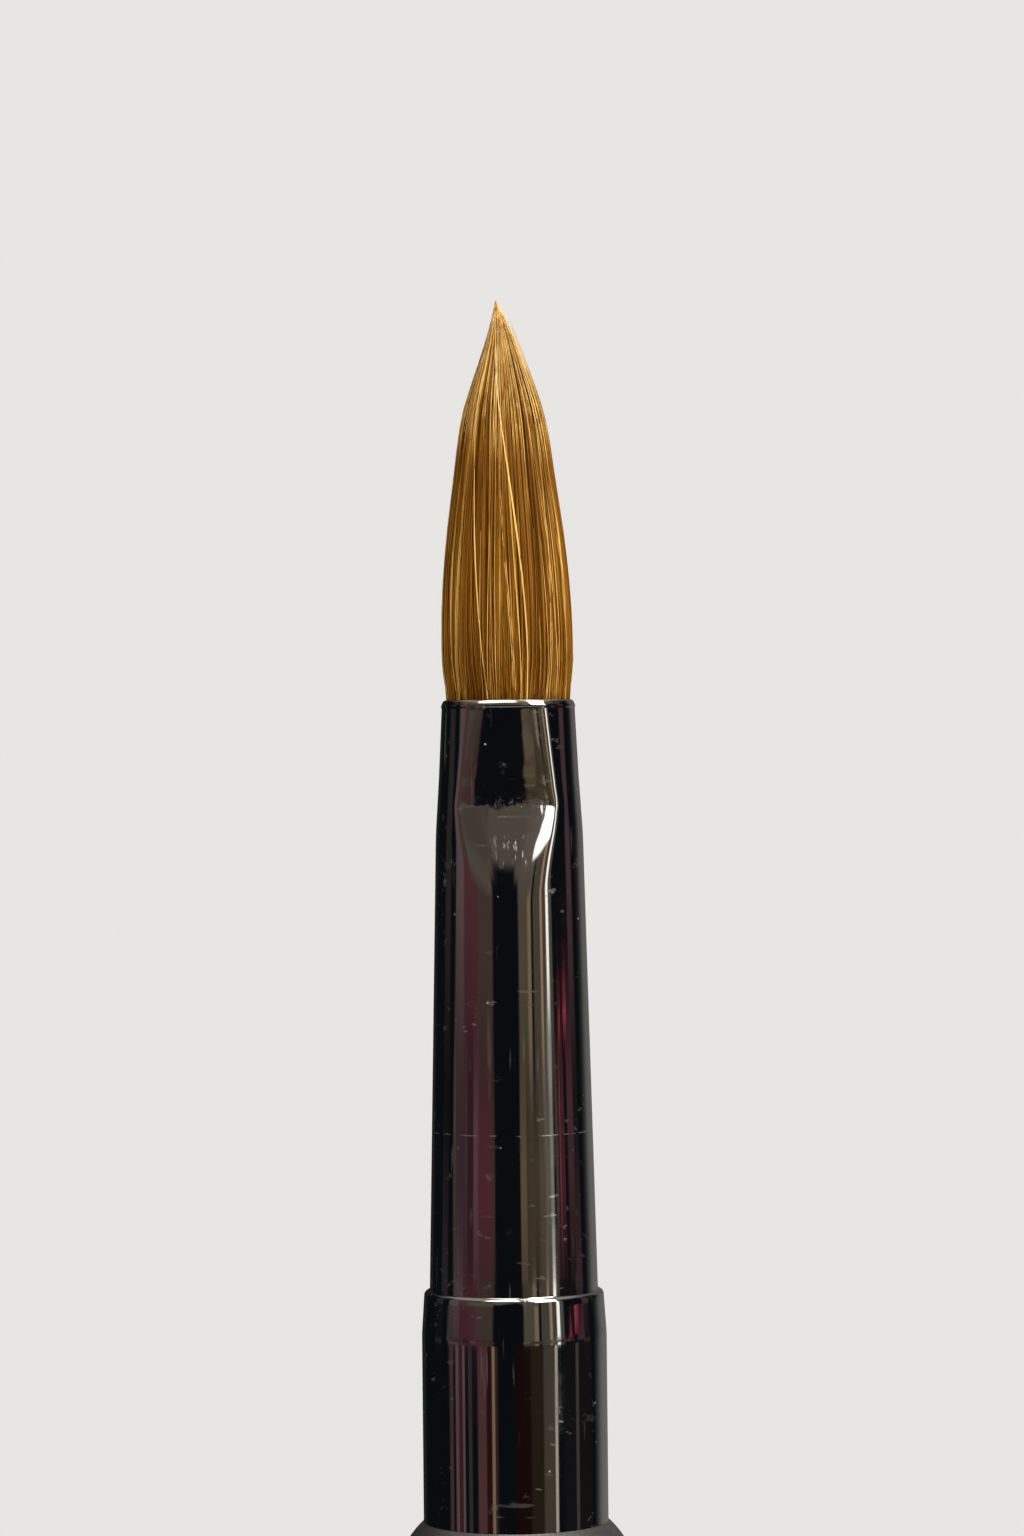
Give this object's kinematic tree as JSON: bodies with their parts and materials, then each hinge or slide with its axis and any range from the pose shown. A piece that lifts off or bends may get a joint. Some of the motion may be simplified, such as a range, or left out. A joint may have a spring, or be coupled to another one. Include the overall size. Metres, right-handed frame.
{
  "type": "writing brush",
  "caption": "Pointed hair writing brush with a pinched plated ferrule, stepped chrome collar, satin barrel and a push-on cap posted on its tail.",
  "frame": {"origin": "centre of the flat end face of the cap, the lowest point of the standing brush", "axes": "+Z along the brush from the cap's end to the tip of the hair; the pinched flats of the ferrule face -Y and +Y"},
  "size_m": [0.013, 0.013, 0.1884],
  "materials": {
    "sable_hair": "glossy golden brown hair",
    "waxed_thread": "waxed",
    "cement": "cast amber resin",
    "nickel_plate": "polished nickel plate",
    "hardwood": "turned, unfinished",
    "chrome_plate": "polished chrome plate",
    "satin_grey": "satin dark grey anodised",
    "black_moulding": "moulded"
  },
  "bodies": {
    "brush": {"hair_tuft": "sable_hair", "root_thread": "waxed_thread", "root_cement": "cement", "ferrule": "nickel_plate", "handle_tenon": "hardwood", "front_collar": "chrome_plate", "barrel_shell": "satin_grey", "tail_collar": "chrome_plate", "tail_plug": "black_moulding"},
    "cap": {"cap_shell": "satin_grey", "cap_mouth_ring": "chrome_plate", "cap_liner": "black_moulding", "cap_end_plug": "chrome_plate"}
  },
  "joints": [
    {"name": "cap_slide", "type": "slide", "parent": "brush", "child": "cap", "axis": [0, 0, -1], "range_m": [0, 0.03]}
  ]
}
